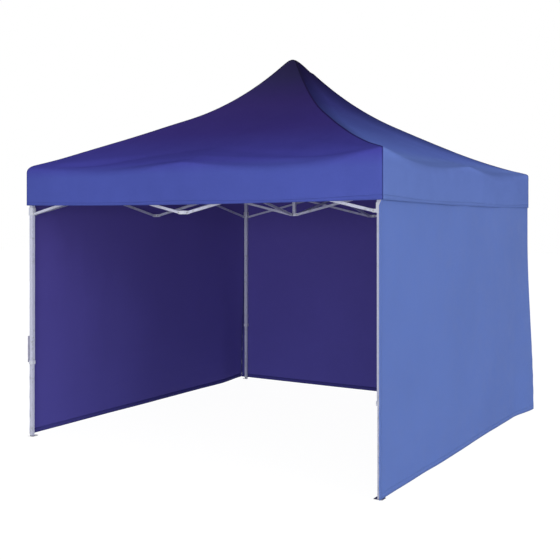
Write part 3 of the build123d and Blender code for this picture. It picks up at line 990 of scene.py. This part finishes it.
def wall_pull(side, share, point):
    """The shares of its two legs', inner legs' and far legs' travel that fold and gather a wall."""
    first, last = WALL_CORNERS[side]
    others = [corner for corner in CORNERS if corner not in (first, last)]
    lift = min(1.0, max(0.0, (RISING_Z - point.z) / (RISING_Z - WALL_BOTTOM)))
    seed = SIDES.index(side) * 5.7
    shifted = noise.noise(Vector((share * 2.3 + seed, point.z * 0.25, 1.3)))
    uneven = noise.noise(Vector((share * 5.0 + seed, point.z * 0.7, 7.9)))
    phase = WALL_PLEATS * (share + 1) / 2 + 1.6 * shifted * math.cos(math.pi * share / 2)
    pleat = (0.5 - 0.5 * math.cos(2 * math.pi * phase)) * (1 + 0.8 * uneven)
    depth = WALL_PLEAT_DEPTH * (1 - FLATTER_BY * smooth_step(point.z, *FLATTER))
    outward = depth * max(pleat, 0.0) / (4 * LEG_TRAVEL)
    pull = {"leg_" + corner: outward for corner in others}
    along = {"right": point.y, "back": -point.x, "left": -point.y}[side]
    along = max(-1.0, min(1.0, along / HELD_AT))
    for corner, amount in ((first, (1 - along) / 2), (last, (1 + along) / 2)):
        pull["leg_" + corner] = amount * (1 - lift)
        pull["inner_leg_" + corner] = amount * lift
    return pull


def wall_place(side, share, height_share):
    """A point of a wall at rest, and its pulls."""
    rest = wall_point(side, share, height_share)
    return rest, wall_pull(side, share, rest)


def wall_strip(name, side, shares, heights, lift, both, thick):
    """A strip sewn on a wall between these places along it and these heights, each a share of its own."""
    upright = heights[-1] - heights[0] > 0.5
    lattice = []
    for height in heights[::-1]:
        line = []
        for share in shares:
            across = (share - shares[0]) / (shares[-1] - shares[0])
            level = (height - heights[0]) / (heights[-1] - heights[0])
            spot = (across, height * WALL_TALL) if upright else (level, (share + 1) * WALL_OUT)
            line.append((*wall_place(side, share, height), *spot))
        lattice.append(line)
    return sewn_strip(name, lattice, "top_connector_" + side, wall_hem_blue, thick, lift, both)


wall_heights = [row / WALL_ROWS for row in range(WALL_ROWS + 1)]
wall_shares = [-1 + 2 * cut / WALL_CUTS for cut in range(WALL_CUTS + 1)]
wall_trim = {}
for side in ("right", "back", "left"):
    places = [wall_place(side, share, height) for height in wall_heights for share in wall_shares]
    points, pulls = zip(*places)
    wide = WALL_CUTS + 1
    faces = []
    for row in range(WALL_ROWS):
        for start in range(row * wide, (row + 1) * wide - 1):
            faces.append((start, start + 1, start + wide + 1, start + wide))
    cloth = new_piece(f"wall_{side}_cloth", points, faces, [wall_blue, coated_back])
    hang(cloth, "top_connector_" + side, pulls)
    thicken(cloth, CLOTH_THICK, back=1)
    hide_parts("wall_" + side)
    in_cloth = -CLOTH_THICK / 2
    past = 0.0004
    hem = [-past, *wall_heights[1:2]]
    header = [wall_heights[-2], 1 + past]
    left_edge = [-1 - past, *wall_shares[1:3]]
    right_edge = [*wall_shares[-3:-1], 1 + past]
    wall_trim[side] = [
        wall_strip(f"wall_{side}_hem", side, wall_shares, hem, in_cloth, True, HEM_THICK),
        wall_strip(f"wall_{side}_header", side, wall_shares, header, in_cloth, True, HEM_THICK),
        wall_strip(f"wall_{side}_left_edge", side, left_edge, wall_heights, in_cloth, True, EDGE_THICK),
        wall_strip(f"wall_{side}_right_edge", side, right_edge, wall_heights, in_cloth, True, EDGE_THICK),
    ]


# ---------------------------------------------------------------------------------------------------
# Wall tab. A tab of pale webbing, sewn on the front edge of the left wall, reaches past the edge
# along the front leg, for holding the wall back.
webbing, tree, shader = new_material("pale_webbing", **{"Specular IOR Level": 0.1})
ribs = placed(tree, weave, thread=(0.66, 0.64, 0.76, 1.0), gap=(0.46, 0.45, 0.56, 1.0), pitch=0.0018)
tone = placed(tree, aged, colour=ribs["Colour"], dusty=0.3)
feed(tree, shader, {"Base Color": tone["Colour"], "Roughness": tone["Rough"]})
bump(tree, shader, ribs["Height"], 0.6, 0.0004)

TAB_LOW = 0.560
TAB_HIGH = 0.760
TAB_ROWS = 12
TAB_THICK = 0.0016
TAB_OUT = WALL_OUT + 0.0035
TAB_EDGES = (-1.452, -1.458, -1.464, -1.469, -1.474)
lattice = []
for row in range(TAB_ROWS + 1):
    z = TAB_HIGH + (TAB_LOW - TAB_HIGH) * row / TAB_ROWS
    line = []
    for y in TAB_EDGES:
        point = Vector((-TAB_OUT - 0.0005 * math.sin(40 * z), y, z))
        line.append((point, wall_pull("left", min(1.0, -y / WALL_ENDS["left"][1]), point), 0.0, z))
    lattice.append(line)
tab = sewn_strip("wall_left_tab", lattice, "top_connector_left", webbing, TAB_THICK)
wall_trim["left"].append(tab)


# ---------------------------------------------------------------------------------------------------
# Studio. A pale floor, three large soft lamps low at the right, the front and the back, and a dim even
# light from all round, with the camera standing off the front right corner.
white_floor, tree, shader = new_material("pale_floor", **{"Base Color": (0.86, 0.86, 0.86, 1.0)})
seen = new_node(tree, "ShaderNodeLightPath").outputs
direct = calculate(tree, "ADD", seen["Is Camera Ray"], seen["Is Glossy Ray"])
direct = calculate(tree, "ADD", direct, seen["Is Transmission Ray"], clamp=True)
glow = feed(tree, new_node(tree, "ShaderNodeEmission"), {"Strength": 1.1})
either = feed(tree, new_node(tree, "ShaderNodeMixShader"), {0: calculate(tree, "MULTIPLY", direct, 0.88)})
tree.links.new(shader.outputs[0], either.inputs[1])
tree.links.new(glow.outputs[0], either.inputs[2])
tree.links.new(either.outputs[0], tree.nodes["Material Output"].inputs["Surface"])
feed(tree, shader, {"Roughness": 0.9, "Specular IOR Level": 0.1})
FLOOR_HALF = 40.0
FLOOR_GAP = 0.0005
floor_signs = ((-1, -1), (1, -1), (1, 1), (-1, 1))
floor_points = [(x * FLOOR_HALF, y * FLOOR_HALF, cad_low.z - FLOOR_GAP) for x, y in floor_signs]
floor = new_piece("floor", floor_points, [(0, 1, 2, 3)], [white_floor], smooth=False)

world = bpy.data.worlds.new("studio")
bpy.context.scene.world = world
world.use_nodes = True
tree = world.node_tree
surround = tree.nodes["Background"]
seen = new_node(tree, "ShaderNodeLightPath").outputs
direct = calculate(tree, "ADD", seen["Is Camera Ray"], seen["Is Glossy Ray"])
direct = calculate(tree, "ADD", direct, seen["Is Transmission Ray"], clamp=True)
feed(tree, surround, {"Color": (1.0, 1.0, 1.0, 1.0), "Strength": rubbed(tree, direct, 0.50, 1.0)})


def soft_lamp(name, place, aim, wide, tall, watts):
    """A large soft box at place, turned to aim."""
    lamp = bpy.data.lights.new(name, "AREA")
    lamp.shape = "RECTANGLE"
    lamp.size = wide
    lamp.size_y = tall
    lamp.energy = watts
    holder = bpy.data.objects.new(name, lamp)
    holder.location = place
    holder.rotation_euler = (Vector(aim) - Vector(place)).to_track_quat("-Z", "Y").to_euler()
    holder.visible_camera = False
    bpy.context.scene.collection.objects.link(holder)


soft_lamp("key", (18.0, -5.5, 4.5), (0, 0, 1.2), 9.0, 7.0, 1250)
soft_lamp("fill", (6.0, -16.0, 1.5), (0, 0, 1.2), 9.0, 3.0, 1020)
soft_lamp("back", (-13.0, 13.0, 4.5), (0, 0, 1.2), 9.0, 7.0, 900)

camera = bpy.data.objects.new("camera", bpy.data.cameras.new("camera"))
bpy.context.scene.collection.objects.link(camera)
camera.location = (3.649, -6.106, 1.607)
camera.rotation_euler = (math.radians(90), 0, math.radians(31.8))
camera.data.sensor_width = 36.0
camera.data.lens = 56.02
camera.data.shift_y = -0.0986
camera.data.clip_end = 200.0
bpy.context.scene.camera = camera
bpy.context.scene.view_settings.view_transform = "Standard"
